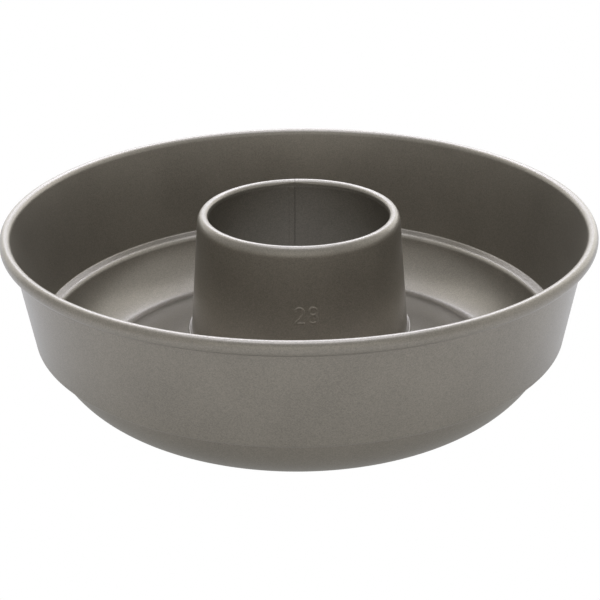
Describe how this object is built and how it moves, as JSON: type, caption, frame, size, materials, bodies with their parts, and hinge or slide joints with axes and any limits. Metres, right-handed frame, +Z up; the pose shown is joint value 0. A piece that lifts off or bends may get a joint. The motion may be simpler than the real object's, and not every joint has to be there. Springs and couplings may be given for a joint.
{
  "type": "ring cake pan",
  "caption": "Round coated-steel cake pan with a rolled rim, a low ledge, a rounded bottom and a tapered open centre tube that gives the cake its hole.",
  "frame": {"origin": "on the pan's axis, at the level of the flat ring that it stands on", "axes": "+Z up along the axis of the pan and its tube; the tube's seam is on the +Y side, and the picture looks along +Y"},
  "size_m": [0.2894, 0.2894, 0.0835],
  "materials": {
    "pan_coating": "warm grey metallic non-stick coating with a fine grain and a soft sheen",
    "tube_coating": "the same warm grey metallic coating, a little darker",
    "wire_steel": "plain drawn steel wire, hidden in the rolled rim"
  },
  "bodies": {
    "root": {"pan_shell": "pan_coating", "centre_tube": "tube_coating", "rim_wire": "wire_steel"}
  },
  "joints": []
}
